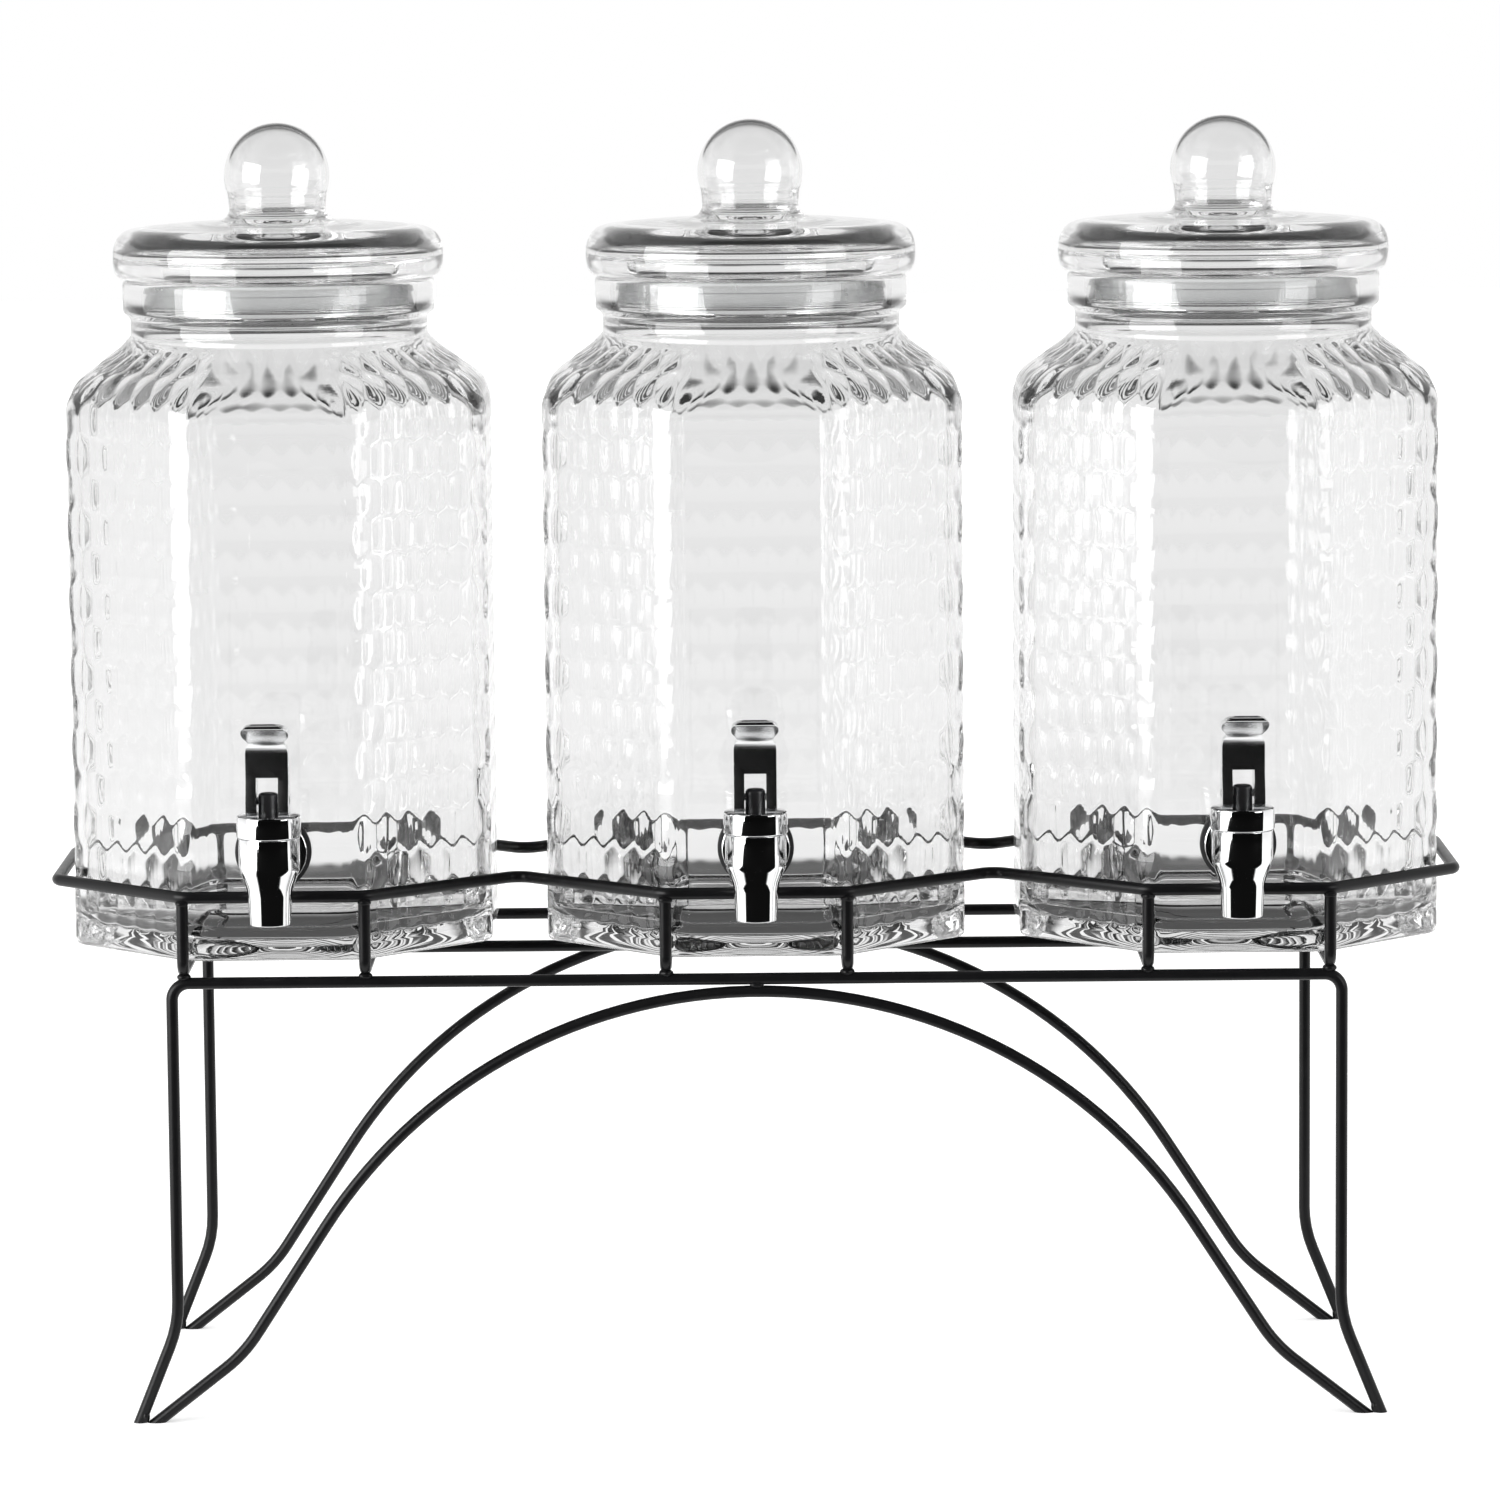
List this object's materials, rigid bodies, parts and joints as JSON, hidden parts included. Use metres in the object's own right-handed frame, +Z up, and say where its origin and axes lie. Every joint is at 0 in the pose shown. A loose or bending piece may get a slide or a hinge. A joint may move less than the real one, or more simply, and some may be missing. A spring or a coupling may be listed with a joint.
{
  "type": "triple beverage dispenser",
  "caption": "Glass drink jars with ball-knob lids and chrome lever spigots, standing in a row on a raised bent-wire rack with arched legs.",
  "frame": {"origin": "on the ground under the middle of the object's box", "axes": "+X along the row of jars towards the right-hand jar as seen from the front, +Y to the back, +Z up; the spigots face -Y"},
  "size_m": [0.5946, 0.2446, 0.5382],
  "materials": {
    "wire": "satin black powder coat on steel wire",
    "glass": "clear pressed glass",
    "chrome": "bright chrome plating",
    "rubber": "matt black rubber",
    "silicone": "clear silicone",
    "plastic": "black moulded plastic",
    "steel": "plain stainless steel"
  },
  "bodies": {
    "stand": {"gallery_rail": "wire", "front_leg_frame": "wire", "back_leg_frame": "wire", "front_arch": "wire", "back_arch": "wire", "centre_rail": "wire", "left_cradle_wire_a": "wire", "left_cradle_wire_b": "wire", "centre_cradle_wire_a": "wire", "centre_cradle_wire_b": "wire", "right_cradle_wire_a": "wire", "right_cradle_wire_b": "wire"},
    "left_dispenser": {"left_jar": "glass", "left_spigot_body": "chrome", "left_spigot_cap": "chrome", "left_outer_washer": "rubber", "left_inner_washer": "rubber", "left_shank_nut": "plastic", "left_valve_spring": "steel"},
    "left_cover": {"left_lid": "glass", "left_lid_gasket": "silicone"},
    "left_valve": {"left_valve_stem": "plastic", "left_valve_seal": "rubber", "left_lever_pin": "steel"},
    "left_handle": {"left_lever": "chrome"},
    "centre_dispenser": {"centre_jar": "glass", "centre_spigot_body": "chrome", "centre_spigot_cap": "chrome", "centre_outer_washer": "rubber", "centre_inner_washer": "rubber", "centre_shank_nut": "plastic", "centre_valve_spring": "steel"},
    "centre_cover": {"centre_lid": "glass", "centre_lid_gasket": "silicone"},
    "centre_valve": {"centre_valve_stem": "plastic", "centre_valve_seal": "rubber", "centre_lever_pin": "steel"},
    "centre_handle": {"centre_lever": "chrome"},
    "right_dispenser": {"right_jar": "glass", "right_spigot_body": "chrome", "right_spigot_cap": "chrome", "right_outer_washer": "rubber", "right_inner_washer": "rubber", "right_shank_nut": "plastic", "right_valve_spring": "steel"},
    "right_cover": {"right_lid": "glass", "right_lid_gasket": "silicone"},
    "right_valve": {"right_valve_stem": "plastic", "right_valve_seal": "rubber", "right_lever_pin": "steel"},
    "right_handle": {"right_lever": "chrome"}
  },
  "joints": [
    {"name": "left_jar_lift", "type": "slide", "parent": "stand", "child": "left_dispenser", "axis": [0, 0, 1], "range_m": [0, 0.06]},
    {"name": "left_lid_lift", "type": "slide", "parent": "left_dispenser", "child": "left_cover", "axis": [0, 0, 1], "range_m": [0, 0.08]},
    {"name": "left_valve_lift", "type": "slide", "parent": "left_dispenser", "child": "left_valve", "axis": [0, 0, 1], "range_m": [0, 0.0035], "stiffness_N_per_m": 400, "springref_m": -0.004, "deforming": ["left_valve_spring"]},
    {"name": "left_lever_tilt", "type": "hinge", "parent": "left_valve", "child": "left_handle", "pos_m": [-0.2, -0.09335, 0.2644], "axis": [1, 0, 0], "range_deg": [0, 40]},
    {"name": "centre_jar_lift", "type": "slide", "parent": "stand", "child": "centre_dispenser", "axis": [0, 0, 1], "range_m": [0, 0.06]},
    {"name": "centre_lid_lift", "type": "slide", "parent": "centre_dispenser", "child": "centre_cover", "axis": [0, 0, 1], "range_m": [0, 0.08]},
    {"name": "centre_valve_lift", "type": "slide", "parent": "centre_dispenser", "child": "centre_valve", "axis": [0, 0, 1], "range_m": [0, 0.0035], "stiffness_N_per_m": 400, "springref_m": -0.004, "deforming": ["centre_valve_spring"]},
    {"name": "centre_lever_tilt", "type": "hinge", "parent": "centre_valve", "child": "centre_handle", "pos_m": [0, -0.09335, 0.2644], "axis": [1, 0, 0], "range_deg": [0, 40]},
    {"name": "right_jar_lift", "type": "slide", "parent": "stand", "child": "right_dispenser", "axis": [0, 0, 1], "range_m": [0, 0.06]},
    {"name": "right_lid_lift", "type": "slide", "parent": "right_dispenser", "child": "right_cover", "axis": [0, 0, 1], "range_m": [0, 0.08]},
    {"name": "right_valve_lift", "type": "slide", "parent": "right_dispenser", "child": "right_valve", "axis": [0, 0, 1], "range_m": [0, 0.0035], "stiffness_N_per_m": 400, "springref_m": -0.004, "deforming": ["right_valve_spring"]},
    {"name": "right_lever_tilt", "type": "hinge", "parent": "right_valve", "child": "right_handle", "pos_m": [0.2, -0.09335, 0.2644], "axis": [1, 0, 0], "range_deg": [0, 40]}
  ],
  "couplings": [
    {"joint": "left_lever_tilt", "follows": "left_valve_lift", "rad_per_m": 199.46},
    {"joint": "centre_lever_tilt", "follows": "centre_valve_lift", "rad_per_m": 199.46},
    {"joint": "right_lever_tilt", "follows": "right_valve_lift", "rad_per_m": 199.46}
  ]
}
